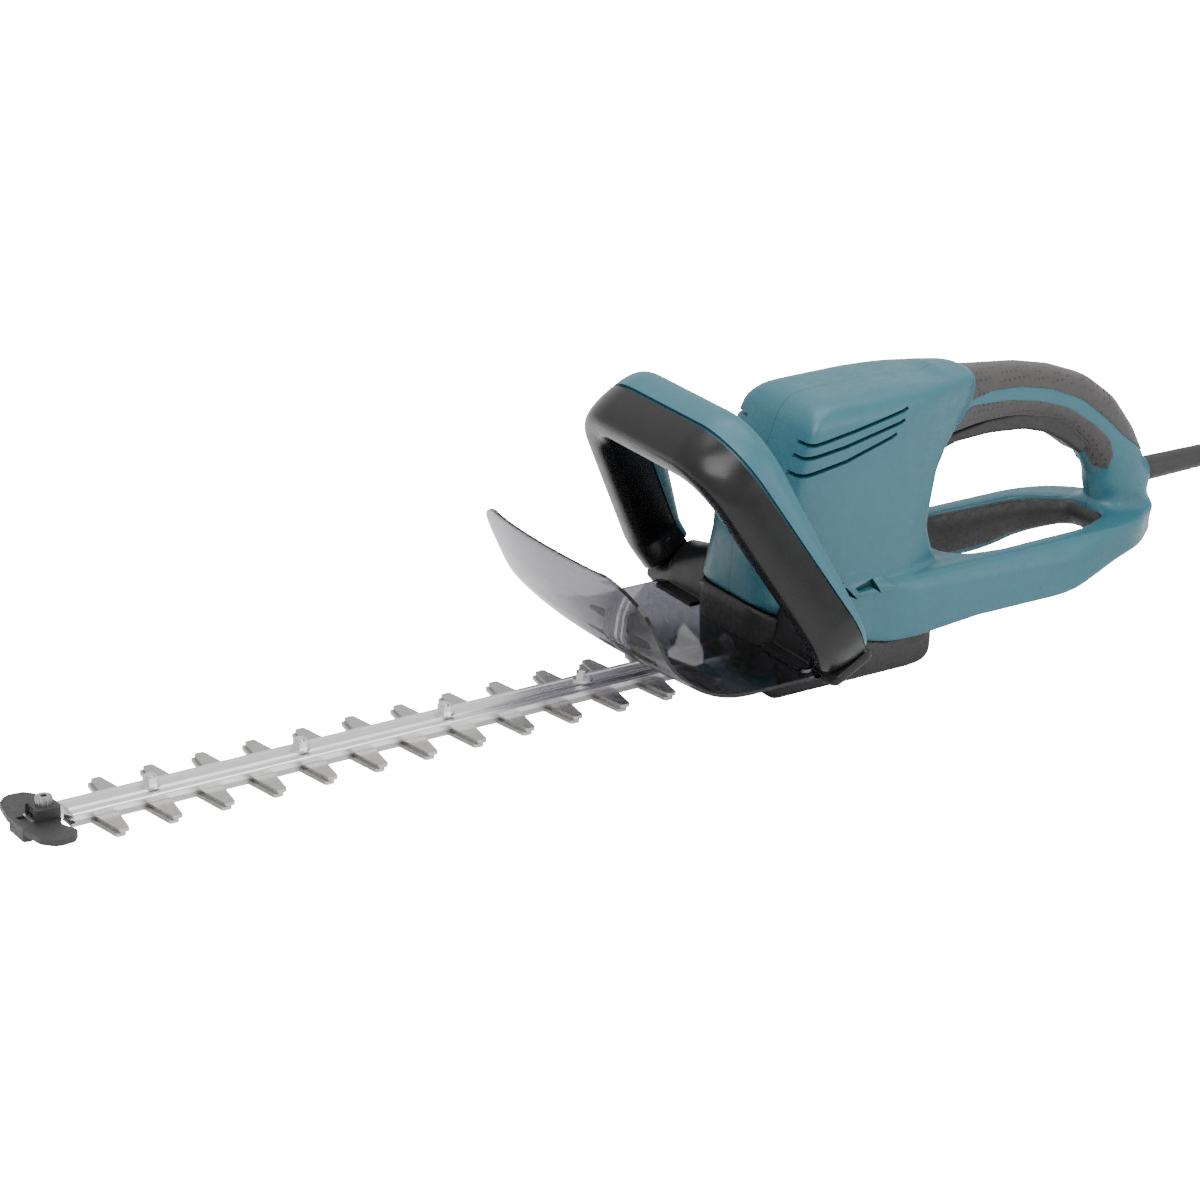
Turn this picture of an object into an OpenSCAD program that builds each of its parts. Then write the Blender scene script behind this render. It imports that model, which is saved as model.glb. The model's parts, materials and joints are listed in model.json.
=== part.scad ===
/* [Cutting blades] */
// Distance between two teeth on one side
tooth_pitch = 36.7; // [35:0.1:38]
// Teeth on each side of a blade
tooth_count = 13; // [12:1:13]
// Centre line to the tooth tips
tooth_reach = 39.7; // [34:0.1:42]
// How far the far row of teeth is shifted along the blade
far_row_shift = 17; // [14:0.5:19]
// Thickness of each shear blade
blade_t = 2.4; // [2:0.1:2.6]
// Length of each blade's stroke
stroke = 10; // [8:1:10]
/* [Housing] */
// Wall thickness of the moulded shells
wall = 2.8; // [2.4:0.1:3.2]
// Half width of the motor housing at its base
body_half = 50; // [48:0.5:50]
// Height of the top of the motor housing
body_top = 204; // [202:0.5:206]
/* [Front handle] */
// Lean of the handle's loop towards the blades, in degrees
lean = 28.75; // [28.5:0.25:29]
// Half width of the loop's centre line at its hips
hip_u = 112; // [111:0.5:113]
// Half width of the loop's centre line at its crown
crown_u = 71; // [69:0.5:73]
// Height of the loop along its lean
loop_top = 173.5; // [172:0.5:175]
/* [Shield] */
// Half width of the transparent shield
shield_half = 100; // [96:1:102]
// Thickness of the shield
shield_t = 2.6; // [2.2:0.1:3]
/* [Mains lead] */
// Diameter of the cord
cord_d = 8; // [7:0.1:8.4]
/* [Hidden] */

teal = [0.27, 0.50, 0.55];
dark = [0.20, 0.19, 0.19];
black = [0.08, 0.08, 0.09];
steel = [0.62, 0.63, 0.65];
bright = [0.80, 0.81, 0.83];
$fn = 48;

// ---- outlines: corners [x, y, radius], given anticlockwise ----
function unit(v) = v / norm(v);
function flat(p) = [p.x, p.y];
function left_of(a, b) = let (d = unit(flat(b) - flat(a))) [-d.y, d.x];
function before(list, i) = list[(i + len(list) - 1) % len(list)];
function after(list, i) = list[(i + 1) % len(list)];
function turn(a) = a > 180 ? a - 360 : a < -180 ? a + 360 : a;
function corner(a, p, b, n) =
    let (u = unit(flat(a) - flat(p)), w = unit(flat(b) - flat(p)), half = acos(u * w) / 2,
        c = flat(p) + unit(u + w) * p[2] / sin(half), run = p[2] / tan(half),
        from = flat(p) + u * run - c, to = flat(p) + w * run - c,
        start = atan2(from.y, from.x), sweep = turn(atan2(to.y, to.x) - start))
    p[2] == 0 ? [flat(p)]
    : [for (i = [0:n]) c + p[2] * [cos(start + sweep * i / n), sin(start + sweep * i / n)]];
function rounded(list, n = 6) =
    [for (i = [0:len(list) - 1]) each corner(before(list, i), list[i], after(list, i), n)];
function inset(list, g) =
    [for (i = [0:len(list) - 1])
        let (n1 = left_of(before(list, i), list[i]), n2 = left_of(list[i], after(list, i)))
        concat(flat(list[i]) + (n1 + n2) * g / (1 + n1 * n2), max(list[i][2] - g, 1))];
function mirrored(list) =
    concat(list, [for (i = [len(list) - 1:-1:0]) [list[i].x, -list[i].y, list[i][2]]]);

// an outline in X and Z, as thick as 2 * half across Y
module side_slab(list, half) {
    rotate([90, 0, 0]) linear_extrude(2 * half, center = true) polygon(rounded(list));
}
// an outline in X and Y, from z0 to z1
module plan_slab(list, z0, z1) {
    translate([0, 0, z0]) linear_extrude(z1 - z0) polygon(rounded(list));
}
// an outline in Y and Z, from x0 to x1
module front_slab(list, x0, x1) {
    translate([x0, 0, 0]) rotate([90, 0, 90]) linear_extrude(x1 - x0) polygon(rounded(list));
}
module along_y(p, r, y0, y1) {
    translate([p.x, y0, p.y]) rotate([-90, 0, 0]) cylinder(h = y1 - y0, r = r);
}
module upright(p, r, z0, z1) {
    translate([p.x, p.y, z0]) cylinder(h = z1 - z0, r = r);
}
// a closed solid through rings of points
module skin(rings) {
    m = len(rings[0]);
    polyhedron(points = [for (ring = rings) each ring], faces = concat(
        [for (j = [0:m / 2 - 2]) each [[j, j + 1, m - 2 - j], [j, m - 2 - j, m - 1 - j]]],
        [for (i = [0:len(rings) - 2], j = [0:m - 1])
            each [[i * m + j, (i + 1) * m + j, (i + 1) * m + (j + 1) % m],
                [i * m + j, (i + 1) * m + (j + 1) % m, i * m + (j + 1) % m]]],
        [for (j = [0:m / 2 - 2]) each let (k = (len(rings) - 1) * m)
            [[k + m - 2 - j, k + j + 1, k + j], [k + m - 1 - j, k + m - 2 - j, k + j]]]));
}

// ---- the blades ----
near_tip_x = -545;
bar_end_x = -592;
strip_half = 11.8;
tooth_root = 15.5;
tooth_tip = 6.8;
lower_z = 18.9;
upper_z = lower_z + blade_t + 0.1;
bar_z = upper_z + blade_t + 0.1;
bar_t = 3.2;
rest_offset = 1.2;
bolt_x = [for (i = [0:3]) -507 + i * 107];
bar_screw_x = [-68, -54];
slot_half = stroke / 2 + 1.6;
crank_x = -11;
motor_x = 22;
crank_throw = stroke / 2;
eccentric_r = 9;
yoke_room = eccentric_r + 2 * crank_throw + 0.8;

function tooth(x, side) = side < 0
    ? [[x - tooth_root / 2, -strip_half, 0], [x - tooth_tip / 2, -tooth_reach, 2],
        [x + tooth_tip / 2, -tooth_reach, 2], [x + tooth_root / 2, -strip_half, 0]]
    : [[x + tooth_root / 2, strip_half, 0], [x + tooth_tip / 2, tooth_reach, 2],
        [x - tooth_tip / 2, tooth_reach, 2], [x - tooth_root / 2, strip_half, 0]];
blade_outline = concat([[-566, -strip_half, 0]],
    [for (i = [0:tooth_count - 1]) each tooth(near_tip_x + i * tooth_pitch, -1)],
    [[-34, -strip_half, 0], [-34, strip_half, 0]],
    [for (i = [tooth_count - 1:-1:0]) each tooth(near_tip_x + far_row_shift + i * tooth_pitch, 1)],
    [[-566, strip_half, 0]]);

// an oblong hole that lets a blade slide along the screws from x0 to x1
module guide_slot(x0, x1, z) {
    run = slot_half + 3.5;
    plan_slab(mirrored([[x0 - run, -3.5, 3.4], [x1 + run, -3.5, 3.4]]), z - 1, z + blade_t + 1);
}
module blade(z, shift) {
    color(steel) translate([shift, 0, 0]) difference() {
        plan_slab(blade_outline, z, z + blade_t);
        for (x = bolt_x) guide_slot(x - shift, x - shift, z);
        guide_slot(bar_screw_x[0] - shift, bar_screw_x[1] - shift, z);
    }
}
module upper_blade() { blade(upper_z, rest_offset); }
module lower_blade() { blade(lower_z, -rest_offset); }

// a plate behind each blade with a window that its eccentric runs in
module yoke(z, shift) {
    color(steel) difference() {
        plan_slab(mirrored([[-33.9 + shift, -22, 4], [crank_x + yoke_room + 5, -22, 6]]), z, z + blade_t);
        plan_slab(mirrored([[crank_x - yoke_room, 0 - eccentric_r - crank_throw - 0.6, 2],
            [crank_x + yoke_room, 0 - eccentric_r - crank_throw - 0.6, 2]]), z - 1, z + blade_t + 1);
    }
}
module upper_yoke() { yoke(upper_z, rest_offset); }
module lower_yoke() { yoke(lower_z, -rest_offset); }

module guide_bar() {
    color(bright) difference() {
        union() {
            plan_slab(mirrored([[bar_end_x, -6.5, 1], [-570, -6.5, 0], [-566, -13.5, 1], [-46, -13.5, 1]]),
                bar_z, bar_z + bar_t);
            translate([-566, 0, 0]) rotate([90, 0, 90]) linear_extrude(490) polygon([
                [-12, bar_z + bar_t - 0.1], [11, bar_z + bar_t - 0.1], [5, bar_z + bar_t + 1.9],
                [-4.5, bar_z + bar_t + 2.1], [-6, bar_z + bar_t + 0.9], [-11, bar_z + bar_t + 0.6]]);
        }
        for (x = bolt_x) upright([x, 0], 3.05, bar_z - 1, bar_z + bar_t + 4);
        upright([-580, 0], 2.3, bar_z - 1, bar_z + bar_t + 4);
        for (x = bar_screw_x) upright([x, 0], 3.05, bar_z - 1, bar_z + bar_t + 4);
    }
}
seat_z = bar_z + bar_t + 2.1;
module blade_bolts() {
    color(steel) for (x = bolt_x) {
        upright([x, 0], 6.6, lower_z - 2.6, lower_z - 0.1);
        upright([x, 0], 3, lower_z - 0.1, seat_z + 7.6);
    }
}
module bar_screws() {
    color(steel) for (x = bar_screw_x) {
        upright([x, 0], 6.6, lower_z - 2.6, lower_z - 0.1);
        upright([x, 0], 3, lower_z - 0.1, 40);
    }
}
module blade_nuts() {
    color(bright) for (x = bolt_x) difference() {
        union() {
            upright([x, 0], 6.8, seat_z, seat_z + 1.3);
            translate([x, 0, seat_z + 1.2]) cylinder(h = 5, r = 5.2, $fn = 6);
        }
        upright([x, 0], 3.03, seat_z - 1, seat_z + 8);
    }
}
guard_z = bar_z - 1.6;
module tip_guard() {
    color(dark) difference() {
        union() {
            plan_slab(mirrored([[-600.5, -12, 8], [-597, -31, 6], [-589, -39.7, 9], [-577, -38.5, 5],
                [-571, -31, 5], [-577, -17, 8], [-573, -10, 3]]), guard_z, guard_z + 4.2);
            plan_slab(mirrored([[-590, -9.5, 3], [-572, -9.5, 3]]), guard_z + 4, seat_z + 5);
            plan_slab(mirrored([[-586, -9.5, 0], [-570, -9.5, 0]]), lower_z - 2.4, lower_z - 0.3);
            plan_slab(mirrored([[-600, -12, 3], [-592.5, -12, 3]]), lower_z - 2.4, guard_z + 1);
            plan_slab(mirrored([[-596, -9.5, 0], [-583, -9.5, 0]]), lower_z - 2.4, lower_z - 0.3);
        }
        translate([bar_end_x - 0.1, -6.7, bar_z - 0.05]) cube([40, 13.4, bar_t + 2.4]);
        translate([-597, -5.4, bar_z + 1]) cube([8.4, 10.8, 12]);
        upright([-580, 0], 2.3, 0, 60);
    }
}
module tip_screw() {
    color(black) difference() {
        union() {
            upright([-580, 0], 2.2, lower_z - 2, seat_z + 5);
            upright([-580, 0], 5.2, seat_z + 5, seat_z + 10.4);
            for (i = [0:11]) upright([-580 + 5 * cos(i * 30), 5 * sin(i * 30)], 0.8, seat_z + 5, seat_z + 10);
        }
        translate([-580, 0, seat_z + 7.4]) cylinder(h = 5, r = 2.3, $fn = 6);
    }
}

// ---- drive: crank, gears and motor ----
gear_teeth = 50;
pinion_teeth = 10;
gear_m = (motor_x - crank_x) * 2 / (gear_teeth + pinion_teeth);
gear_z = 33;
fit = 0.02;
function polar(r, a) = [r * cos(a), r * sin(a)];
// half widths of a tooth, in degrees, at its root and tip
module spur(teeth, root_half, tip_half, turn_by, z, h) {
    pitch_r = teeth * gear_m / 2;
    translate([0, 0, z]) linear_extrude(h) polygon([for (i = [0:teeth - 1])
        let (a = i * 360 / teeth + turn_by)
            each [polar(pitch_r - 1.1 * gear_m, a - root_half), polar(pitch_r + 0.8 * gear_m, a - tip_half),
                polar(pitch_r + 0.8 * gear_m, a + tip_half), polar(pitch_r - 1.1 * gear_m, a + root_half)]]);
}
module crank_gear() {
    color(steel) translate([crank_x, 0, 0]) difference() {
        union() {
            spur(gear_teeth, 2.0, 0.8, 0, gear_z, 7);
            upright([0, 0], 8, upper_z, gear_z + 0.5);
            upright([-crank_throw, 0], eccentric_r, upper_z, upper_z + blade_t + 1);
            upright([crank_throw, 0], eccentric_r, lower_z, upper_z);
        }
        upright([0, 0], 4 + fit, 0, 60);
        for (i = [0:5]) upright(polar(18, 30 + i * 60), 5, gear_z - 1, gear_z + 8);
    }
}
module crank_shaft() { color(bright) upright([crank_x, 0], 4, 3.2, 54); }
module ring_part(p, r_in, r_out, z0, z1) {
    difference() {
        upright(p, r_out, z0, z1);
        upright(p, r_in, z0 - 1, z1 + 1);
    }
}
module crank_bearings() {
    color(steel) {
        ring_part([crank_x, 0], 4 + fit, 11, 5, 12);
        ring_part([crank_x, 0], 4 + fit, 11, 47, 54);
    }
}
module rotor_pinion() {
    color(steel) translate([motor_x, 0, 0]) difference() {
        spur(pinion_teeth, 9.5, 3.2, 180 / pinion_teeth, gear_z - 1, 9);
        upright([0, 0], 3 + fit, 0, 60);
    }
}
module rotor_shaft() {
    color(bright) {
        upright([motor_x, 0], 3, gear_z - 2, 46);
        upright([motor_x, 0], 5, 46, 171);
    }
}
stator_z = 80;
stator_h = 46;
module rotor_core() { color(steel) ring_part([motor_x, 0], 5 + fit, 20.2, stator_z, stator_z + stator_h); }
module commutator() { color([0.72, 0.45, 0.2]) ring_part([motor_x, 0], 5 + fit, 13, 140, 156); }
module cooling_fan() {
    color(dark) {
        ring_part([motor_x, 0], 5 + fit, 31, 59, 61.5);
        ring_part([motor_x, 0], 5 + fit, 9, 61.4, 70);
        for (i = [0:10]) translate([motor_x, 0, 61.4]) rotate([0, 0, i * 360 / 11])
            translate([11, -1, 0]) cube([18, 2, 8]);
    }
}
module motor_bearings() {
    color(steel) {
        ring_part([motor_x, 0], 5 + fit, 13, 48, 56);
        ring_part([motor_x, 0], 5 + fit, 11, 162, 170);
    }
}
module stator() {
    color(steel) difference() {
        upright([motor_x, 0], 35, stator_z, stator_z + stator_h);
        upright([motor_x, 0], 20.8, stator_z - 1, stator_z + stator_h + 1);
    }
}
module stator_coils() {
    color([0.66, 0.36, 0.16]) for (z = [stator_z - 7, stator_z + stator_h + 0.1])
        ring_part([motor_x, 0], 22, 32, z, z + 6.9);
}
brush_z = 148;
module brushes() {
    color([0.15, 0.15, 0.15]) for (s = [-1, 1])
        translate([motor_x, s * 20, brush_z]) cube([5, 13.6, 6], center = true);
}
module brush_holders() {
    color([0.72, 0.45, 0.2]) for (s = [-1, 1]) difference() {
        translate([motor_x, s * 25, brush_z]) cube([8, 20, 9], center = true);
        translate([motor_x, s * 23, brush_z]) cube([5.1, 20, 6.1], center = true);
    }
}

// ---- lower body: base cover and gear case ----
base_half = body_half;
base_side = [[-62, 0, 10], [73, 0, 27], [75.5, 30, 1], [30, 26.9, 30], [2, 33.1, 30],
    [-71.5, 67, 1], [-74, 60, 3], [-70, 20, 10]];
base_plan = mirrored([[-74, -base_half, 30], [76, -base_half, 22]]);
base_front = [[-44, 0, 8], [44, 0, 8], [base_half, 22, 16], [base_half, 72, 0],
    [-base_half, 72, 0], [-base_half, 22, 16]];
module base_solid(g) {
    intersection() {
        side_slab(inset(base_side, g), base_half + 1);
        translate([0, 0, -1]) plan_slab(inset(base_plan, g), 0, 80);
        front_slab(inset(base_front, g), -80, 80);
    }
}
base_screw_at = [[-52, 26], [-52, -26], [58, 26], [58, -26]];
module base_cover() {
    color(dark) difference() {
        union() {
            difference() {
                base_solid(0);
                translate([0, 0, 0.4]) base_solid(wall);
                side_slab([[-69, 62.9, 0], [2, 28, 0], [73, 25, 0], [60, 80, 0]], base_half - wall);
            }
            upright([crank_x, 0], 13.5, 2, 11.9);
            for (p = base_screw_at) upright(p, 4.5, 1, case_z - 0.05);
        }
        upright([crank_x, 0], 11 + fit, 5, 40);
        upright([crank_x, 0], 4.3, 3, 6);
        translate([-90, -18, 13]) cube([40, 36, 19]);
        translate([-70.3, -13.3, 30]) cube([5, 26.6, 18]);
        for (x = bar_screw_x) {
            upright([x, 0], 3.2, 10, 60);
            upright([x, 0], 7, 12, 19);
        }
        for (p = base_screw_at) {
            upright(p, 1.75, -1, 40);
            upright(p, 3.6, -1, 3.2);
        }
    }
}
module base_screws() {
    color(steel) for (p = base_screw_at) {
        upright(p, 1.7, 3, 34);
        upright(p, 3.4, 0.6, 3.1);
    }
}
case_z = 29;
case_plan = mirrored([[-48, -34, 8], [34, -34, 10], [46, -20, 12]]);
module gear_case() {
    color(bright) difference() {
        union() {
            plan_slab(case_plan, case_z, 47);
            plan_slab(mirrored([[-70, -13, 3], [-40, -13, 0]]), bar_z + bar_t + 0.05, 47);
            upright([crank_x, 0], 14, 46, 54);
            upright([motor_x, 0], 16.5, 46, 56);
            for (p = base_screw_at) upright([p.x < 0 ? p.x + 4 : 44, p.y], 6, case_z, 45);
            for (p = base_screw_at) upright(p, 5, case_z, 45);
            plan_slab(mirrored([[40, -30, 3], [60, -30, 3]]), case_z, 34);
        }
        plan_slab(inset(case_plan, 3.5), 28, 43.5);
        upright([crank_x, 0], 11 + fit, 46.9, 60);
        upright([crank_x, 0], 9, 40, 60);
        upright([motor_x, 0], 13 + fit, 47.9, 60);
        upright([motor_x, 0], 10, 40, 60);
        for (x = bar_screw_x) upright([x, 0], 3.05, 20, 40.5);
        for (p = base_screw_at) upright(p, 1.75, 28, 40);
    }
}

// ---- housing ----
body_side = [[-71.5, 67.5, 3], [2, 33.6, 30], [30, 27.4, 30], [72, 29.5, 6], [82, 64, 10],
    [68, 102, 24], [78, 138, 14], [118, 196.4, 2], [40, body_top + 1, 100],
    [-26, body_top + 0.5, 27], [-66.5, 104, 40]];
body_front = [[-body_half, 20, 4], [body_half, 20, 4], [body_half, 112, 40], [44, body_top + 1, 24],
    [-44, body_top + 1, 24], [-body_half, 112, 40]];
body_plan = mirrored([[-72, -body_half, 30], [42, -body_half, 34], [119, -23, 8]]);
// above the flange the body's front corners are rounder
upper_plan = mirrored([[-72, -body_half, 44], [42, -body_half, 34], [119, -23, 8]]);
shoulder_z = 86;
ring_plan = mirrored([[-10, -49.5, 4], [12, -51, 20], [50, -59, 40], [180, -62, 80], [250, -47, 40],
    [287, -14, 30]]);
hole_plan = mirrored([[91, -33, 24], [130, -40, 40], [205, -38, 50], [239, -19, 16]]);
ring_side = [[-10, 39.2, 0], [2, 33.6, 30], [30, 27.4, 30], [100, 34, 30], [180, 34.5, 30], [240, 50, 40],
    [290, 47, 8], [290, 64, 8], [264, 68, 20], [200, 74, 60], [-10, 75, 2]];
ring_front = [[-62, 26, 6], [62, 26, 6], [62, 58, 5], [52, 73.6, 8], [-52, 73.6, 8], [-62, 58, 5]];
// the grip: outer point, inner point and half width of each station along it
grip = [[[96, 199], [74, 130], 28], [[118, 196.5], [101, 150], 21], [[145, 193.8], [131, 154], 19.5],
    [[172, 189.5], [160, 154], 19], [[200, 182.5], [187, 147.5], 19], [[228, 171], [206, 137], 19.2],
    [[252, 152], [224, 119], 19.6], [[269, 128], [235, 102], 20.2], [[281, 104], [239.5, 90], 21],
    [[285, 84], [241, 76], 21], [[288, 62], [242, 63], 21]];
grip_sides = 20;
function power(v, e) = sign(v) * pow(abs(v), e);
function grip_ring(s, g) =
    let (out = s[0], inn = s[1], mid = (out + inn) / 2, up = unit(out - inn), hh = norm(out - inn) / 2 - g)
    [for (j = [0:grip_sides - 1])
        let (a = j * 360 / grip_sides, k = power(cos(a), 0.75) * hh, w = power(sin(a), 0.75) * (s[2] - g))
        [mid.x + up.x * k, -w, mid.y + up.y * k]];
module grip_solid(g) { skin([for (s = grip) grip_ring(s, g)]); }
gland_z = 88;
module gland_boss(r, x1) {
    translate([262, 0, gland_z]) rotate([0, 90, 0]) cylinder(h = x1 - 262, r = r);
}
module body_solid(g) {
    intersection() {
        side_slab(inset(body_side, g), body_half + 1);
        union() {
            plan_slab(inset(body_plan, g), 20, shoulder_z);
            plan_slab(inset(upper_plan, g), shoulder_z - 0.1, 210);
        }
        front_slab(inset(body_front, g), -80, 120);
    }
}
module ring_solid(g) {
    difference() {
        intersection() {
            side_slab(inset(ring_side, g), 64);
            plan_slab(inset(ring_plan, g), 20, 80);
            front_slab(inset(ring_front, g), -20, 302);
        }
        plan_slab(inset(hole_plan, -g), 0, 100);
    }
}
module housing_solid() {
    body_solid(0);
    ring_solid(0);
    grip_solid(0);
    gland_boss(13.5, 291);
}
trigger_pivot = [219, 137.5];
trigger_half = 13;
boss_at = [[-50, 84], [-30, 178], [84, 184], [70, 50], [186, 168], [258, 128], [272, 60]];
trigger_slot = [[78, 128.5, 1], [231, 98, 1], [231, 144, 1], [222, 152, 4], [170, 166, 10], [100, 166, 1],
    [78, 154, 1]];
module housing_hollow() {
    difference() {
        union() {
            difference() {
                body_solid(wall);
                for (z = [84, 116]) difference() {
                    plan_slab(body_plan, z, z + 3);
                    upright([motor_x, 0], 35 + fit, z - 1, z + 4);
                }
                difference() {
                    plan_slab(body_plan, 163, 169);
                    upright([motor_x, 0], 11 + fit, 162, 170);
                }
            }
            ring_solid(wall);
            grip_solid(wall);
        }
        for (p = boss_at) along_y(p, 5, -70, 70);
        along_y(trigger_pivot, 5.5, -70, 70);
    }
}
module vents(s) {
    for (v = [[-46, 181.8, 43.5, 190.6], [-52, 170.6, 39, 182], [-51, 160.2, 32, 173.4]])
        translate([v[0], s * 50, v[1]]) rotate([0, -atan2(v[3] - v[1], v[2] - v[0]), 0])
            translate([0, -13, -1.8]) cube([norm([v[2] - v[0], v[3] - v[1]]), 26, 3.6]);
}
module housing_half(s) {
    color(teal) difference() {
        intersection() {
            housing_solid();
            translate([-100, s > 0 ? 0.01 : -80.01, 0]) cube([420, 80, 220]);
        }
        housing_hollow();
        vents(s);
        // the mouth over the gear case, the trigger's slot and the way of the cord
        side_slab([[-66, 60, 0], [2, 20, 0], [70, 20, 0], [70, 33, 0], [4, 38, 0], [-62, 70, 0]],
            body_half - wall);
        side_slab(trigger_slot, trigger_half + 0.5);
        along_y(trigger_pivot, 2.42, -15.7, 15.7);
        translate([240, 0, gland_z]) rotate([0, 90, 0]) cylinder(h = 80, r = 9);
        for (p = boss_at) {
            along_y(p, s > 0 ? 1.9 : 1.78, s > 0 ? -1 : -11, s > 0 ? 80 : 1);
            if (s > 0) along_y(p, 3.8, screw_seat(p), 80);
        }
    }
}
// the screws' heads sit this far from the centre plane
function screw_seat(p) = p.x > 180 ? 12 : 30;
module housing_left() { housing_half(-1); }
module housing_right() { housing_half(1); }
module shell_screws() {
    color(steel) for (p = boss_at) {
        along_y(p, 1.75, -9, screw_seat(p) + 0.1);
        along_y(p, 3.6, screw_seat(p) + 0.05, screw_seat(p) + 2.6);
    }
}

// ---- front handle: a loop in a leaning plane ----
// u runs across, v up the lean and d forwards out of the plane
loop_at = [-38, 60];
tube_half = 14.5;
lever_wall = 2.6;
core_half = tube_half - 3.4;
crown_v = loop_top - tube_half;
foot = [104, 5];
hip = [hip_u, 25];
foot_run = unit(hip - foot);
function loop_point(u, v, d) =
    [loop_at.x - sin(lean) * v - cos(lean) * d, u, loop_at.y + cos(lean) * v - sin(lean) * d];
function across(list) = concat(list, [for (i = [len(list) - 1:-1:0]) [-list[i].x, list[i].y, list[i][2]]]);
// stations [u, v, outward angle] from the left foot over the top to the right one, t up from the foot
function loop_stations(t) =
    let (start = foot + foot_run * t,
        way = across([[-start.x, start.y, 0], [-hip.x, hip.y, 22], [-crown_u, crown_v, 40]]),
        line = concat([flat(way[0])], [for (i = [1:4]) each corner(way[i - 1], way[i], way[i + 1], 7)],
            [flat(way[5])]), last = len(line) - 1)
    [for (i = [0:last]) let (run = line[min(i + 1, last)] - line[max(i - 1, 0)])
        [line[i].x, line[i].y, atan2(run.y, run.x) + 90]];
function bow(half, depth, n = 12) =
    [for (i = [0:n]) let (t = 180 - 180 * i / n) [half * power(cos(t), 0.6), depth * power(sin(t), 0.8)]];
function backwards(list) = [for (i = [len(list) - 1:-1:0]) list[i]];
function lifted(list, g) = [for (q = list) [q.x, max(q.y, g)]];
function lowered(list, g) = [for (q = list) [q.x, min(q.y, -g)]];
// the gap between lever and handle opens towards the top of the loop, as the handle's back deepens
function lever_gap(v) = 0.5 + v * 0.0145;
function back_depth(v) = 5.5 + v * 0.11;
function loop_ring(s, section) =
    [for (q = section) loop_point(s.x + cos(s[2]) * q.x, s.y + sin(s[2]) * q.x, q.y)];
function lever_section(v) =
    concat(lifted(bow(tube_half, 32), lever_gap(v)),
        lifted(backwards(bow(tube_half - lever_wall, 32 - lever_wall)), lever_gap(v)));
function handle_section(v, g) =
    concat(lowered(backwards(bow(tube_half - g, g - back_depth(v))), 0.4 * g), bow(core_half - g, 24 - g));
lever_pivot = [loop_point(0, 18, 11).x, loop_point(0, 18, 11).z];
pin_ends = [94.6, 123];
module both_sides() { for (s = [0, 1]) mirror([0, s, 0]) children(); }
module front_lever() {
    color(black) difference() {
        union() {
            skin([for (s = loop_stations(0)) loop_ring(s, lever_section(s.y))]);
            both_sides() skin([for (t = [2.9, 0.3]) let (p = foot + foot_run * t)
                loop_ring([p.x, p.y, atan2(foot_run.y, foot_run.x) - 90], lifted(bow(tube_half - 1, 31), 19.5))]);
        }
        both_sides() along_y(lever_pivot, 3.05, 88, pin_ends[1] + 0.1);
    }
}
module front_handle() {
    color(teal) difference() {
        skin([for (s = loop_stations(3.5)) loop_ring(s, handle_section(s.y, 0))]);
        skin([for (s = loop_stations(2.5)) loop_ring(s, handle_section(s.y, lever_wall))]);
        along_y(lever_pivot, 3 + fit, -125, 125);
    }
}
module lever_pins() { color(steel) both_sides() along_y(lever_pivot, 3, pin_ends[0], pin_ends[1]); }
module coil(r, wire, turns, h) {
    per_turn = 14;
    skin([for (i = [0:turns * per_turn])
        let (t = i * 360 / per_turn, z = wire + (h - 2 * wire) * i / (turns * per_turn))
            [for (b = [0:-60:-300])
                [(r + wire * cos(b)) * cos(t), (r + wire * cos(b)) * sin(t), z + wire * sin(b)]]]);
}
module lever_spring() {
    color(steel) translate([lever_pivot.x, 105.8, lever_pivot.y]) rotate([-90, 0, 0]) coil(4.6, 0.7, 4, 6.8);
}
module lever_switch() {
    color(black) {
        translate([-48, 18, 62]) cube([20, 18, 12]);
        translate([-42, 24, 73.9]) cube([6, 4, 2.5]);
    }
}

shield_top = 41.7;
shield_screw_at = [for (x = [-63], y = [-84, -62, 62, 84]) [x, y]];
// an outline in the loop's u and v, from d0 to d1
module loop_slab(list, d0, d1) {
    translate([loop_at.x, 0, loop_at.y]) rotate([0, -lean, 0]) front_slab(list, -d1, -d0);
}
// an arm from each foot of the loop to the body, with a tongue up into the leg
arm_top = [[118, -2.4, 1], [92, 8, 1], [88, 13.5, 2], [70, 19, 14], [36, 30, 0]];
arm_front = [[118, -4, 1], [92, 4, 3], [60, 10, 8], [36, 14, 0]];
arm_under = [[36, -26, 0], [76, -26, 0], [118, -8, 2]];
tongue = [for (q = [[-8, -5.2], [-8, 5.2], [22, 5.2], [22, -5.2]])
    let (p = foot + foot_run * q.x + [-foot_run.y, foot_run.x] * -q.y) [p.x, p.y, 0]];
module handle_bracket() {
    color(dark) difference() {
        both_sides() difference() {
            union() {
                loop_slab(concat(arm_under, arm_top), -4, 20);
                loop_slab(concat(arm_under, arm_front), 19.9, 34);
                loop_slab(tongue, 1, 16.5);
                translate([-72, 44, shield_top]) cube([18.4, 44, 3.6]);
            }
            translate([-120, 30, 0]) cube([100, 71.2, shield_top]);
            translate([-120, 90, 0]) cube([100, 40, 37]);
            along_y(lever_pivot, 6, 105.6, 112.8);
            along_y(lever_pivot, 3.1, 96, 130);
        }
        base_solid(-0.4);
        body_solid(-0.4);
        ring_solid(-0.4);
        for (p = shield_screw_at) upright(p, 1.8, 30, 60);
    }
}

// ---- shield ----
flat_end = -118;
flap_r = 75;
flap_angle = 66;
flap_run = 54;
flap_corner = 36;
shield_z = 38.9 + shield_t / 2;
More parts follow.
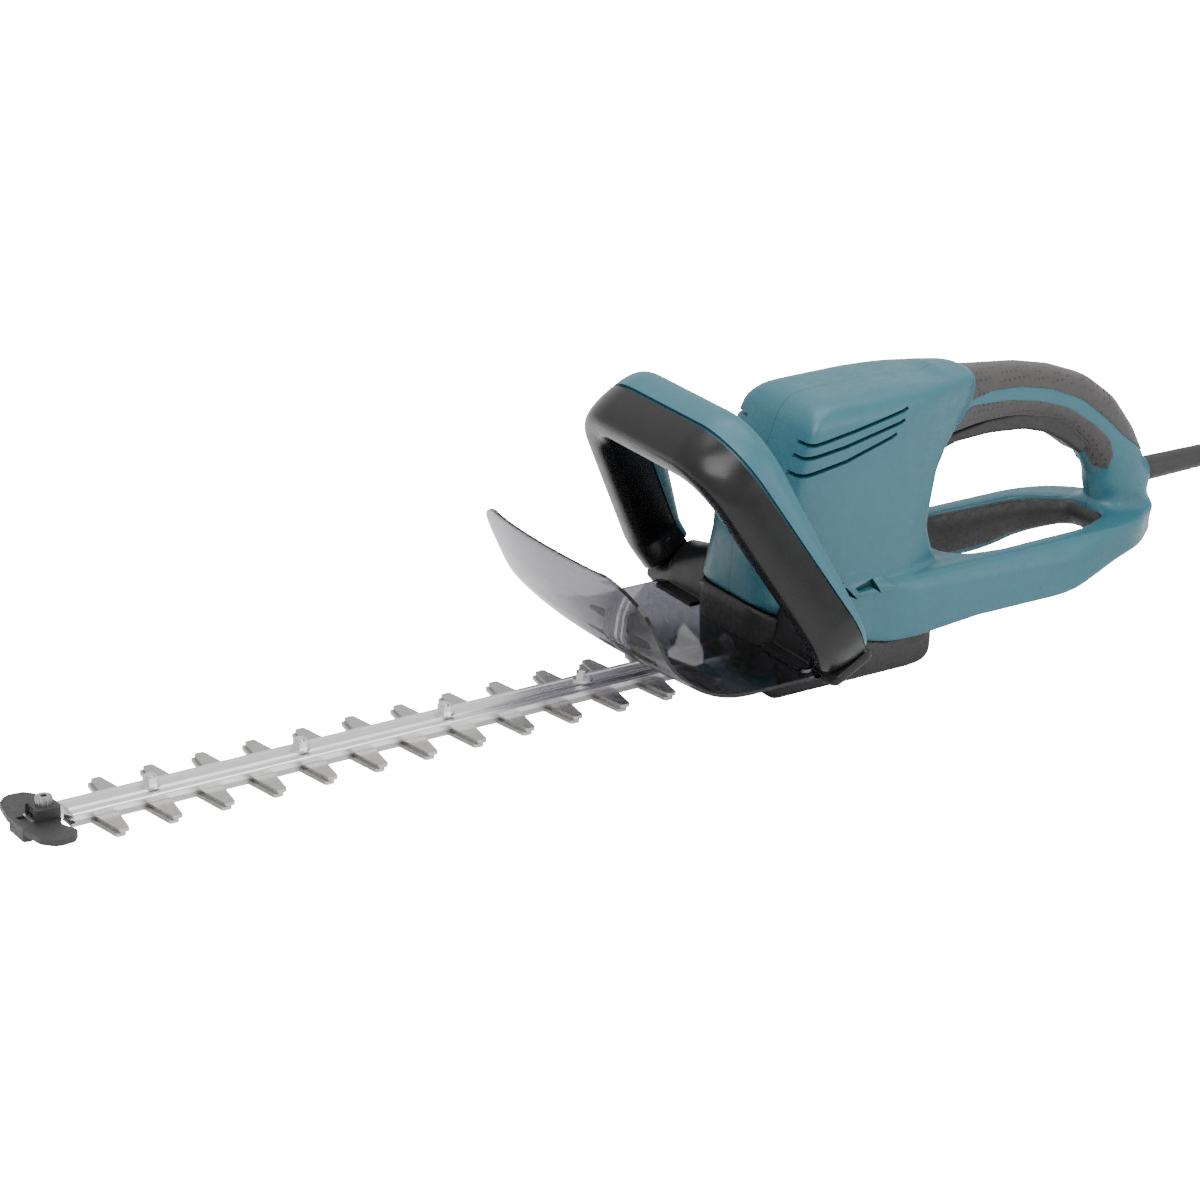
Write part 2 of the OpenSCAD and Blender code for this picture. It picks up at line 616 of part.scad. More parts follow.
// stations [x, z, slope, bulge, half width] from the back to the flap's top edge
function bent(a) = [flat_end - flap_r * sin(a), shield_z + flap_r * (1 - cos(a))];
function shield_stations() = concat(
    [for (x = [-56, -80, -100]) [x, shield_z, 0, 0, shield_half]],
    [for (i = [0:7]) let (a = flap_angle * i / 7) [bent(a).x, bent(a).y, a, 14 * pow(i / 7, 1.2), shield_half]],
    [for (i = [1:6]) let (c = i * 15, t = flap_run - flap_corner * (1 - sin(c)))
        [bent(flap_angle).x - cos(flap_angle) * t, bent(flap_angle).y + sin(flap_angle) * t, flap_angle,
            14 - 5 * i / 6, shield_half - flap_corner * (1 - cos(c))]]);
function shield_row(s, side) = [for (j = [-5:5])
    let (y = s[4] * j / 5, x = s.x - s[3] * (1 - pow(y / shield_half, 2)))
        [x + side * sin(s[2]) * shield_t / 2, y, s.y + side * cos(s[2]) * shield_t / 2]];
module shield() {
    color([0.3, 0.3, 0.34, 0.5]) difference() {
        skin([for (s = shield_stations()) concat(shield_row(s, 1), backwards(shield_row(s, -1)))]);
        translate([-75.6, -51, 30]) cube([40, 102, 20]);
        for (p = shield_screw_at) upright(p, 2, 30, 60);
    }
}
module shield_screws() {
    color(steel) for (p = shield_screw_at) {
        upright(p, 1.75, 38.8, shield_top + 3.6);
        upright(p, 3.6, 36.6, 38.85);
    }
}

// ---- grips and trigger ----
top_grip_area = [[105, 176, 1], [134, 181, 20], [160, 179, 30], [187, 172.5, 30], [214, 160, 30],
    [237, 141, 20], [254, 124.5, 20], [284, 103, 1], [312, 130, 1], [260, 190, 1], [180, 215, 1],
    [96, 206, 1], [108, 194, 4]];
side_grip_area = [[96, 161, 3], [104, 156.5, 4], [142, 157.3, 30], [169, 154.8, 30], [196, 143, 25],
    [214, 128, 15], [221, 115, 8], [224.5, 104.5, 2], [242.5, 101.5, 2], [244.5, 112.5, 8],
    [241, 124.5, 12], [227, 138.5, 25], [203.5, 155.5, 30], [176.5, 165.6, 30], [150, 171.2, 30],
    [116, 174, 20], [103, 171, 6]];
module grip_skin() {
    difference() {
        grip_solid(-1.1);
        grip_solid(-0.05);
        body_solid(-0.1);
    }
}
module top_grip() {
    color(dark) intersection() {
        grip_skin();
        side_slab(top_grip_area, 40);
    }
}
module side_grip(s) {
    color(dark) intersection() {
        grip_skin();
        translate([0, s * 32, 0]) side_slab(side_grip_area, 18);
    }
}
module side_grip_left() { side_grip(-1); }
module side_grip_right() { side_grip(1); }
module ring_liner() {
    color(dark) intersection() {
        difference() {
            plan_slab(inset(hole_plan, 0.1), 38, 64);
            plan_slab(inset(hole_plan, 3.2), 30, 80);
            body_solid(-0.1);
            grip_solid(-0.1);
        }
        side_slab(inset(ring_side, 3), 60);
    }
}
module rear_trigger() {
    color(dark) difference() {
        side_slab([[84, 131, 2], [93, 139.5, 8], [110, 145.2, 20], [139, 146.3, 60], [170, 143.6, 60],
            [190, 137, 40], [206, 127.2, 30], [221, 115.5, 2], [227, 121, 3], [227, 142, 4], [216, 147, 8],
            [190, 154, 20], [165, 156.5, 30], [140, 157, 20], [104, 152, 20], [88, 146, 6]], trigger_half);
        along_y(trigger_pivot, 2.45, -30, 30);
    }
}
module trigger_pin() { color(steel) along_y(trigger_pivot, 2.4, -15.5, 15.5); }
spring_z = [157.2, 172];
module trigger_spring() {
    color(steel) translate([140, 0, spring_z[0]]) coil(4, 0.7, 5, spring_z[1] - spring_z[0]);
}
module trigger_switch() {
    color(black) {
        translate([124, -8, spring_z[1] + 0.02]) cube([34, 16, 14]);
        translate([126, -3, spring_z[1] - 6]) cube([6, 6, 6.5]);
    }
}

// ---- mains lead ----
guard_end = 358;
module cord_gland() {
    color(black) translate([266, 0, gland_z]) rotate([0, 90, 0]) difference() {
        cylinder(h = 16, r = 8.9);
        translate([0, 0, -1]) cylinder(h = 18, r = cord_d / 2 + 0.05);
    }
}
module cord_guard() {
    color(black) translate([283, 0, gland_z]) rotate([0, 90, 0]) difference() {
        union() {
            cylinder(h = 16.2, r = 8.9);
            translate([0, 0, 16]) cylinder(h = 43, r1 = 8.8, r2 = 8.1);
            translate([0, 0, 59]) cylinder(h = guard_end - 283 - 59, r1 = 8.1, r2 = 5.6);
        }
        translate([0, 0, -1]) cylinder(h = 90, r = cord_d / 2 + 0.05);
    }
}
cord_route = [[268, 0, 88], [312, 0, 88], [352, 0, 88], [374, -3, 84], [391, -12, 73], [400, -27, 56],
    [403, -45, 37], [401, -65, 20], [394, -86, 8.5], [380, -105, 4.3], [361, -117, 6], [342, -123, 12],
    [326, -126, 18]];
function spline(a, b, c, d, t) =
    0.5 * (2 * b + (c - a) * t + (2 * a - 5 * b + 4 * c - d) * t * t + (3 * b - a - 3 * c + d) * t * t * t);
function route_point(k) = cord_route[min(max(k, 0), len(cord_route) - 1)];
cord_line = concat([for (k = [0:len(cord_route) - 2], t = [0, 0.5])
    spline(route_point(k - 1), route_point(k), route_point(k + 1), route_point(k + 2), t)],
    [cord_route[len(cord_route) - 1]]);
cord_sides = 10;
function cord_ring(i) =
    let (from = cord_line[max(i - 1, 0)], to = cord_line[min(i + 1, len(cord_line) - 1)],
        along = unit(to - from), side = unit(cross(along, [0, 0, 1])), up = cross(side, along))
    [for (j = [0:cord_sides - 1]) let (b = -360 * j / cord_sides)
        cord_line[i] + (side * cos(b) + up * sin(b)) * cord_d / 2];
module cord() { color(black) skin([for (i = [0:len(cord_line) - 1]) cord_ring(i)]); }
plug_at = [326, -126, 18.5];
plug_turn = atan2(-3, -16);
module at_plug() { translate(plug_at) rotate([0, 0, plug_turn]) rotate([0, 90, 0]) children(); }
module plug() {
    color(black) at_plug() difference() {
        union() {
            cylinder(h = 24, r1 = 6.5, r2 = 10);
            translate([0, 0, 24]) cylinder(h = 10, r1 = 10, r2 = 18.4);
            translate([0, 0, 34]) cylinder(h = 9, r = 18.4);
        }
        for (y = [-9.5, 9.5]) translate([0, y, 30]) cylinder(h = 20, r = 2.42);
    }
}
module plug_pins() {
    color(bright) at_plug() for (y = [-9.5, 9.5]) translate([0, y, 31]) cylinder(h = 31, r = 2.4);
}

housing_left();
housing_right();
base_cover();
gear_case();
handle_bracket();
front_handle();
front_lever();
lever_pins();
lever_spring();
lever_switch();
shield();
shield_screws();
top_grip();
side_grip_left();
side_grip_right();
ring_liner();
rear_trigger();
trigger_pin();
trigger_spring();
trigger_switch();
stator();
stator_coils();
rotor_core();
rotor_shaft();
commutator();
cooling_fan();
rotor_pinion();
motor_bearings();
brushes();
brush_holders();
crank_gear();
crank_shaft();
crank_bearings();
upper_blade();
lower_blade();
upper_yoke();
lower_yoke();
guide_bar();
blade_bolts();
blade_nuts();
bar_screws();
tip_guard();
tip_screw();
shell_screws();
base_screws();
cord_gland();
cord_guard();
cord();
plug();
plug_pins();
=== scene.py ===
"""Looks of the hedge trimmer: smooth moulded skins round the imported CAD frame, its materials and its studio."""
import json
import math
import bmesh
import bpy
import numpy as np
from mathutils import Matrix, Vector


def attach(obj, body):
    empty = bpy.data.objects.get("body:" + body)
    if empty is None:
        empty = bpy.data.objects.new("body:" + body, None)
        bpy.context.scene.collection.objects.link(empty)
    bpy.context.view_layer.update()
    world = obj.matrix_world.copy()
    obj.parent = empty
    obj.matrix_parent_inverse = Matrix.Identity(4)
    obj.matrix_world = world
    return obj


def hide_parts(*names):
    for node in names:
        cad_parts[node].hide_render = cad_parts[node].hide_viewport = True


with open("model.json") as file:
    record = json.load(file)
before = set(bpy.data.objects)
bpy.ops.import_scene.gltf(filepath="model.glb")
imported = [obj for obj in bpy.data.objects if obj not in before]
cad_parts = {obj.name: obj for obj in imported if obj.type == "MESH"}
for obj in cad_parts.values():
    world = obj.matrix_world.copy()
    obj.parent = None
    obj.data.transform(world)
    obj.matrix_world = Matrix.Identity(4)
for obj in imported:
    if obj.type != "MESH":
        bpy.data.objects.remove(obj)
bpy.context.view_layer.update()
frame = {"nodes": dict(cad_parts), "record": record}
MM = 0.001


# ---- camera ----
# Seen from the left front and from above.
VIEW_AZIMUTH = math.radians(-31.79)
VIEW_HEIGHT = math.radians(22.05)
CAMERA_AT = (-1.5074, -2.1538, 1.1102)


def add_camera():
    data = bpy.data.cameras.new("camera")
    data.sensor_width = 36
    data.lens = 123.0
    data.clip_end = 20
    camera = bpy.data.objects.new("camera", data)
    bpy.context.scene.collection.objects.link(camera)
    camera.location = CAMERA_AT
    camera.rotation_euler = (math.pi / 2 - VIEW_HEIGHT, 0, VIEW_AZIMUTH)
    bpy.context.scene.camera = camera


add_camera()


# ---- outlines and fields, in millimetres ----
# A field is negative inside a shape, zero on its skin and positive outside.
def unit(v):
    return v / np.linalg.norm(v)


def outline(corners, turns=10):
    """Points round a polygon whose corners are [x, y, radius]."""
    points = []
    for i, (x, y, r) in enumerate(corners):
        p = np.array([x, y], float)
        a = unit(np.array(corners[i - 1][:2], float) - p)
        b = unit(np.array(corners[(i + 1) % len(corners)][:2], float) - p)
        if r <= 0:
            points.append(p)
            continue
        half = math.acos(max(-1, min(1, a @ b))) / 2
        centre = p + unit(a + b) * r / math.sin(half)
        reach = r / math.tan(half)
        start = p + a * reach - centre
        end = p + b * reach - centre
        first = math.atan2(start[1], start[0])
        sweep = (math.atan2(end[1], end[0]) - first + math.pi) % (2 * math.pi) - math.pi
        for k in range(turns + 1):
            angle = first + sweep * k / turns
            points.append(centre + r * np.array([math.cos(angle), math.sin(angle)]))
    return np.array(points)


def mirrored(corners):
    return corners + [[x, -y, r] for x, y, r in reversed(corners)]


def inside_of(points, x, y):
    """Signed distance from a closed outline, negative inside."""
    x, y = np.broadcast_arrays(x, y)
    best = np.full(x.shape, 1e12)
    odd = np.zeros(x.shape, bool)
    for a, b in zip(points, np.roll(points, -1, axis=0)):
        e = b - a
        if e @ e < 1e-12:
            continue
        wx, wy = x - a[0], y - a[1]
        t = np.clip((wx * e[0] + wy * e[1]) / (e @ e), 0, 1)
        best = np.minimum(best, (wx - e[0] * t) ** 2 + (wy - e[1] * t) ** 2)
        crosses = (a[1] <= y) != (b[1] <= y)
        if e[1] != 0:
            odd ^= crosses & (x < a[0] + (y - a[1]) * e[0] / e[1])
    return np.where(odd, -1, 1) * np.sqrt(best)


def both(a, b, k):
    """Where two shapes overlap, with their shared edge rounded by about k."""
    h = np.clip(0.5 - 0.5 * (b - a) / k, 0, 1)
    return b + (a - b) * h + k * h * (1 - h)


def either(a, b, k):
    """Two shapes joined, with a fillet of about k."""
    return -both(-a, -b, k)


def without(a, b, k):
    """Shape a with b cut away."""
    return both(a, -b, k)


def capsule(p, a, b, r):
    """A round bar from a to b."""
    a, b = np.array(a, float), np.array(b, float)
    e = b - a
    t = np.clip(sum((p[i] - a[i]) * e[i] for i in range(3)) / (e @ e), 0, 1)
    return np.sqrt(sum((p[i] - a[i] - e[i] * t) ** 2 for i in range(3))) - r


def skin_mesh(field, low, high, step):
    """Vertices and quads of a field's zero surface, in millimetres."""
    axes = [np.arange(low[i] - step, high[i] + 2 * step, step) for i in range(3)]
    grids = [axes[0][:, None, None], axes[1][None, :, None], axes[2][None, None, :]]
    value = np.broadcast_to(field(grids), [len(a) for a in axes]).astype(np.float32)
    size = [len(a) - 1 for a in axes]
    corners = [(i, j, k) for i in (0, 1) for j in (0, 1) for k in (0, 1)]
    at = {c: value[c[0]:c[0] + size[0], c[1]:c[1] + size[1], c[2]:c[2] + size[2]] for c in corners}
    filled = sum((at[c] < 0).astype(np.int8) for c in corners)
    cells = np.argwhere((filled > 0) & (filled < 8))
    index = np.full(size, -1, np.int64)
    index[tuple(cells.T)] = np.arange(len(cells))
    total, count = np.zeros((len(cells), 3)), np.zeros(len(cells))
    held = {c: at[c][tuple(cells.T)].astype(float) for c in corners}
    for c in corners:
        for axis in range(3):
            if c[axis]:
                continue
            d = tuple(1 if i == axis else c[i] for i in range(3))
            va, vb = held[c], held[d]
            cut = (va < 0) != (vb < 0)
            t = np.where(cut, va / np.where(cut, va - vb, 1), 0)
            point = np.array(c, float) + t[:, None] * (np.array(d) - np.array(c))
            total += np.where(cut[:, None], point, 0)
            count += cut
    points = np.array([a[0] for a in axes]) + (cells + total / count[:, None]) * step
    quads = []
    for axis in range(3):
        u, v = (axis + 1) % 3, (axis + 2) % 3
        low_side = [slice(0, n) for n in size]
        low_side[u], low_side[v] = slice(1, size[u]), slice(1, size[v])
        high_side = list(low_side)
        high_side[axis] = slice(1, size[axis] + 1)
        a, b = value[tuple(low_side)] < 0, value[tuple(high_side)] < 0
        for rising in (True, False):
            where = np.argwhere(a & ~b if rising else ~a & b)
            where[:, u] += 1
            where[:, v] += 1
            ring = []
            for du, dv in ((-1, -1), (0, -1), (0, 0), (-1, 0)):
                cell = where.copy()
                cell[:, u] += du
                cell[:, v] += dv
                ring.append(index[tuple(cell.T)])
            quads.append(np.stack(ring if rising else ring[::-1], 1))
    quads = np.concatenate(quads)
    for _ in range(3):
        points = settle(field, points, step)
    return points, quads


def settle(field, points, step):
    """Moves points onto the field's zero surface."""
    def read(p):
        return field([p[:, 0], p[:, 1], p[:, 2]])
    value, e = read(points), step * 0.2
    slope = np.stack([(read(points + e * d) - read(points - e * d)) / (2 * e) for d in np.eye(3)], 1)
    steep = np.maximum((slope ** 2).sum(1), 0.05)
    move = -value[:, None] * slope / steep[:, None]
    length = np.linalg.norm(move, axis=1)
    return points + move * np.minimum(1, 0.7 * step / np.maximum(length, 1e-9))[:, None]


# ---- objects ----
def new_object(name, points, faces, body, material, sharp=40):
    """An object from points in millimetres. Edges sharper than the angle stay crisp."""
    mesh = bpy.data.meshes.new(name)
    mesh.from_pydata((np.asarray(points, float) * MM).tolist(), [], [list(map(int, f)) for f in faces])
    mesh.update()
    piece = bpy.data.objects.new(name, mesh)
    bpy.context.scene.collection.objects.link(piece)
    crisp(piece, sharp)
    mesh.materials.append(material)
    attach(piece, body)
    return piece


def crisp(piece, angle):
    edit = bmesh.new()
    edit.from_mesh(piece.data)
    bmesh.ops.recalc_face_normals(edit, faces=edit.faces)
    limit = math.radians(angle)
    for face in edit.faces:
        face.smooth = True
    for edge in edit.edges:
        edge.smooth = len(edge.link_faces) == 2 and edge.calc_face_angle(0) < limit
    edit.to_mesh(piece.data)
    edit.free()


def moulded(name, field, low, high, step, body, material, sharp=60):
    points, faces = skin_mesh(field, low, high, step)
    return new_object(name, points, faces, body, material, sharp)


def lofted(name, rings, body, material, sharp=40):
    """A solid through rings of equally many points; each ring goes out along one side and back along the other."""
    rings = np.asarray(rings, float)
    count, around = rings.shape[:2]
    faces = []
    for i in range(count - 1):
        for j in range(around):
            k = (j + 1) % around
            faces.append([i * around + j, (i + 1) * around + j, (i + 1) * around + k, i * around + k])
    for first in (0, (count - 1) * around):
        for j in range(around // 2 - 1):
            faces.append([first + j, first + j + 1, first + around - 2 - j, first + around - 1 - j])
    return new_object(name, rings.reshape(-1, 3), faces, body, material, sharp)


# ---- materials ----
class Recipe:
    """A procedural material: short calls that add and join shader nodes."""

    def __init__(self, name, roughness=0.5, metallic=0.0, **inputs):
        self.material = bpy.data.materials.new(name)
        self.material.use_nodes = True
        self.tree = self.material.node_tree
        self.shader = self.tree.nodes["Principled BSDF"]
        self.shader.inputs["Roughness"].default_value = roughness
        self.shader.inputs["Metallic"].default_value = metallic
        for key, value in inputs.items():
            self.shader.inputs[key.replace("_", " ")].default_value = value
        self.place = self.node("ShaderNodeTexCoord").outputs["Object"]

    def node(self, kind, **values):
        made = self.tree.nodes.new(kind)
        for key, value in values.items():
            setattr(made, key, value)
        return made

    def join(self, source, target):
        self.tree.links.new(source, target)

    def stretched(self, scale):
        turn = self.node("ShaderNodeMapping")
        turn.inputs["Scale"].default_value = scale
        self.join(self.place, turn.inputs["Vector"])
        return turn.outputs["Vector"]

    def noise(self, size, detail=3.0, stretch=None):
        """Noise from 0 to 1 with features of about size metres."""
        made = self.node("ShaderNodeTexNoise")
        made.inputs["Scale"].default_value = 1 / size
        made.inputs["Detail"].default_value = detail
        self.join(self.stretched(stretch) if stretch else self.place, made.inputs["Vector"])
        return made.outputs["Fac"]

    def spread(self, source, low, high, low_out=0.0, high_out=1.0):
        made = self.node("ShaderNodeMapRange")
        made.interpolation_type = "SMOOTHSTEP"
        for key, value in zip(("From Min", "From Max", "To Min", "To Max"), (low, high, low_out, high_out)):
            made.inputs[key].default_value = value
        self.join(source, made.inputs["Value"])
        return made.outputs["Result"]

    def sum_up(self, operation, a, b):
        made = self.node("ShaderNodeMath", operation=operation)
        for socket, value in zip(made.inputs, (a, b)):
            if hasattr(value, "is_linked"):
                self.join(value, socket)
            else:
                socket.default_value = value
        return made.outputs[0]

    def axis(self, name):
        split = self.node("ShaderNodeSeparateXYZ")
        self.join(self.place, split.inputs[0])
        return split.outputs[name]

    def colours(self, factor, low, high):
        made = self.node("ShaderNodeMix", data_type="RGBA")
        made.inputs["A"].default_value = (*low, 1)
        made.inputs["B"].default_value = (*high, 1)
        self.join(factor, made.inputs["Factor"])
        self.join(made.outputs["Result"], self.shader.inputs["Base Color"])

    def darker(self, mask, shade):
        """Mixes the base colour towards shade where mask is 1."""
        link = self.shader.inputs["Base Color"].links[0]
        source = link.from_socket
        made = self.node("ShaderNodeMix", data_type="RGBA")
        made.inputs["B"].default_value = (*shade, 1)
        self.join(source, made.inputs["A"])
        self.join(mask, made.inputs["Factor"])
        self.join(made.outputs["Result"], self.shader.inputs["Base Color"])

    def rough(self, factor, low, high):
        self.join(self.spread(factor, 0.3, 0.7, low, high), self.shader.inputs["Roughness"])

    def bump(self, height, strength, distance):
        made = self.node("ShaderNodeBump")
        made.inputs["Strength"].default_value = strength
        made.inputs["Distance"].default_value = distance
        self.join(height, made.inputs["Height"])
        below = self.shader.inputs["Normal"].links
        if below:
            self.join(below[0].from_socket, made.inputs["Normal"])
        self.join(made.outputs["Normal"], self.shader.inputs["Normal"])


def seam(recipe, axis, at, half):
    """1 on a thin line where the axis is near a value."""
    away = recipe.sum_up("ABSOLUTE", recipe.sum_up("SUBTRACT", recipe.axis(axis), at), 0)
    return recipe.spread(away, half * 0.5, half, 1, 0)


def teal_plastic(name, parted):
    """Moulded, slightly textured teal plastic, with or without the parting line of two halves."""
    r = Recipe(name, 0.42)
    r.colours(r.noise(0.03), (0.020, 0.105, 0.140), (0.025, 0.119, 0.156))
    line = seam(r, "Y", 0, 0.00045) if parted else None
    if parted:
        r.darker(line, (0.012, 0.05, 0.06))
    r.rough(r.noise(0.006), 0.36, 0.46)
    r.bump(r.noise(0.0007, 2), 0.12, 0.0002)
    if parted:
        r.bump(line, -0.5, 0.0004)
    return r.material


def black_gloss(name="black_gloss", gloss=0.27):
    """Polished black plastic with faint flow marks."""
    r = Recipe(name, gloss, Coat_Weight=0.08, Coat_Roughness=0.15, Specular_IOR_Level=0.28)
    r.colours(r.noise(0.02), (0.005, 0.005, 0.0055), (0.008, 0.008, 0.009))
    r.rough(r.noise(0.012), gloss - 0.03, gloss + 0.05)
    r.bump(r.noise(0.01), 0.03, 0.0003)
    return r.material


def dark_plastic(name="dark_plastic", low=(0.014, 0.013, 0.0135), high=(0.021, 0.019, 0.020)):
    """Spark-textured charcoal plastic."""
    r = Recipe(name, 0.5)
    r.colours(r.noise(0.01), low, high)
    r.rough(r.noise(0.004), 0.42, 0.58)
    r.bump(r.noise(0.0009, 4), 0.35, 0.0003)
    return r.material


def grip_rubber():
    """Soft brown-grey rubber with a field of small dents, darkened in colour as painted shade."""
    r = Recipe("grip_rubber", 0.62, Sheen_Weight=0.15)
    r.colours(r.noise(0.008), (0.034, 0.029, 0.030), (0.046, 0.040, 0.041))
    cells = r.node("ShaderNodeTexVoronoi", feature="F1")
    cells.inputs["Scale"].default_value = 1 / 0.0042
    cells.inputs["Randomness"].default_value = 0.12
    r.join(r.place, cells.inputs["Vector"])
    shaded_pits = r.spread(cells.outputs["Distance"], 0.2, 0.34, 1, 0)
    # Painted shade: the small dents are darkened in colour, and the bump below also sinks them.
    r.darker(shaded_pits, (0.016, 0.014, 0.015))
    r.rough(r.noise(0.005), 0.55, 0.7)
    r.bump(r.noise(0.0008, 3), 0.25, 0.0003)
    r.bump(shaded_pits, -0.6, 0.0005)
    return r.material


def smooth_rubber(name="lead_rubber"):
    r = Recipe(name, 0.5)
    r.colours(r.noise(0.01), (0.014, 0.014, 0.015), (0.022, 0.022, 0.024))
    r.rough(r.noise(0.004), 0.42, 0.56)
    r.bump(r.noise(0.001, 3), 0.2, 0.0002)
    return r.material


def smoke_clear():
    """Clear plastic with a smoke tint and faint scratches."""
    r = Recipe("smoke_clear", 0.06, Transmission_Weight=1.0, IOR=1.45)
    r.colours(r.noise(0.05), (0.15, 0.145, 0.18), (0.19, 0.185, 0.22))
    r.rough(r.noise(0.02), 0.03, 0.08)
    r.bump(r.noise(0.02), 0.03, 0.0004)
    return r.material


def ground_steel():
    """Blade steel with fine grinding marks across the strip."""
    r = Recipe("ground_steel", 0.32, 1.0)
    r.colours(r.noise(0.004, 4, (0.2, 1, 1)), (0.36, 0.355, 0.345), (0.52, 0.515, 0.50))
    r.rough(r.noise(0.0006, 3, (1, 0.08, 1)), 0.26, 0.42)
    r.bump(r.noise(0.0005, 3, (1, 0.06, 1)), 0.18, 0.0002)
    return r.material


def dark_steel():
    """Turned machine steel."""
    r = Recipe("turned_steel", 0.35, 1.0)
    r.colours(r.noise(0.003), (0.33, 0.33, 0.34), (0.45, 0.45, 0.46))
    r.rough(r.noise(0.002), 0.28, 0.42)
    r.bump(r.noise(0.0006, 3, (1, 1, 0.1)), 0.2, 0.0002)
    return r.material


def bright_bar():
    """Extruded aluminium with long draw lines."""
    r = Recipe("bright_aluminium", 0.3, 1.0)
    r.colours(r.noise(0.002, 3, (0.02, 1, 1)), (0.72, 0.72, 0.73), (0.84, 0.84, 0.85))
    r.rough(r.noise(0.0007, 3, (0.02, 1, 1)), 0.24, 0.36)
    r.bump(r.noise(0.0006, 2, (0.02, 1, 1)), 0.15, 0.0002)
    return r.material


def cast_alloy():
    r = Recipe("cast_alloy", 0.5, 1.0)
    r.colours(r.noise(0.004), (0.42, 0.42, 0.43), (0.55, 0.55, 0.56))
    r.rough(r.noise(0.002), 0.45, 0.6)
    r.bump(r.noise(0.0008, 4), 0.5, 0.0004)
    return r.material


def bright_zinc():
    """Zinc plating, slightly clouded."""
    r = Recipe("bright_zinc", 0.22, 1.0)
    r.colours(r.noise(0.002), (0.68, 0.68, 0.67), (0.80, 0.80, 0.80))
    r.rough(r.noise(0.001), 0.16, 0.3)
    r.bump(r.noise(0.001), 0.08, 0.0002)
    return r.material


def laminations():
    """Varnished sheets stacked along the motor's axis."""
    r = Recipe("laminations", 0.45, 0.8)
    sheets = r.node("ShaderNodeTexWave", wave_type="BANDS", bands_direction="Z")
    sheets.inputs["Scale"].default_value = 300
    r.join(r.place, sheets.inputs["Vector"])
    r.colours(sheets.outputs["Fac"], (0.05, 0.05, 0.055), (0.16, 0.16, 0.17))
    r.bump(sheets.outputs["Fac"], 0.3, 0.0003)
    r.rough(r.noise(0.002), 0.4, 0.55)
    return r.material


def copper():
    r = Recipe("copper", 0.3, 1.0)
    r.colours(r.noise(0.001, 3, (1, 1, 0.1)), (0.45, 0.17, 0.07), (0.65, 0.28, 0.13))
    r.rough(r.noise(0.002), 0.25, 0.4)
    r.bump(r.noise(0.0006, 2, (1, 1, 0.1)), 0.3, 0.0002)
    return r.material


def brass():
    r = Recipe("brass", 0.3, 1.0)
    r.colours(r.noise(0.002), (0.55, 0.40, 0.16), (0.68, 0.50, 0.22))
    r.rough(r.noise(0.002), 0.22, 0.36)
    r.bump(r.noise(0.0008), 0.1, 0.0002)
    return r.material


TEAL, TEAL_HANDLE = teal_plastic("teal_plastic", True), teal_plastic("handle_teal", False)
GLOSS, ARMS = black_gloss(), black_gloss("arm_black", 0.36)
DARK, GRIP, LEAD, SMOKE = dark_plastic(), grip_rubber(), smooth_rubber(), smoke_clear()
SATIN = dark_plastic("liner_satin", (0.014, 0.012, 0.013), (0.020, 0.018, 0.019))
STEEL, MACHINED, BAR, CAST = ground_steel(), dark_steel(), bright_bar(), cast_alloy()
ZINC, LAMINATED, COPPER, BRASS = bright_zinc(), laminations(), copper(), brass()
BY_SLOT = {
    "teal_plastic": TEAL, "black_gloss": GLOSS, "dark_plastic": DARK, "grip_rubber": GRIP,
    "lead_rubber": LEAD, "smoke_clear": SMOKE, "steel": MACHINED, "plated_steel": ZINC,
    "aluminium": BAR, "cast_alloy": CAST, "lamination": LAMINATED, "copper": COPPER, "brass": BRASS,
}
SLOT_OF = {part["node"]: part["material_slot"] for part in frame["record"]["subparts"]}
for name, node in frame["nodes"].items():
    node.data.materials.clear()
    node.data.materials.append(STEEL if name.endswith("_blade") else BY_SLOT[SLOT_OF[name]])


# ---- mains lead ----
CORD_ROUTE = [(0.268, 0, 0.088), (0.312, 0, 0.088), (0.352, 0, 0.088), (0.374, -0.003, 0.084),
              (0.391, -0.012, 0.073), (0.400, -0.027, 0.056), (0.403, -0.045, 0.037), (0.401, -0.065, 0.020),
              (0.394, -0.086, 0.0085), (0.380, -0.105, 0.0043), (0.361, -0.117, 0.006),
              (0.342, -0.123, 0.012), (0.326, -0.126, 0.018)]
CORD_R = 0.004


def spline(points, steps):
    """Points on a smooth curve through the given ones."""
    pts = [np.array(p) for p in points]
    pts = [pts[0]] + pts + [pts[-1]]
    line = []
    for a, b, c, d in zip(pts, pts[1:], pts[2:], pts[3:]):
        for t in np.arange(steps) / steps:
            line.append(0.5 * (2 * b + (c - a) * t + (2 * a - 5 * b + 4 * c - d) * t ** 2
                               + (3 * b - a - 3 * c + d) * t ** 3))
    return line + [pts[-1]]


def add_cord():
    line = spline(CORD_ROUTE, 6)
    curve = bpy.data.curves.new("lead", "CURVE")
    curve.dimensions = "3D"
    curve.bevel_depth = CORD_R
    curve.bevel_resolution = 6
    curve.use_fill_caps = True
    path = curve.splines.new("POLY")
    path.points.add(len(line) - 1)
    for point, at in zip(path.points, line):
        point.co = (*at, 1)
    curve.materials.append(LEAD)
    lead = bpy.data.objects.new("lead", curve)
    bpy.context.scene.collection.objects.link(lead)
    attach(lead, "machine")
    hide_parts("cord")


add_cord()


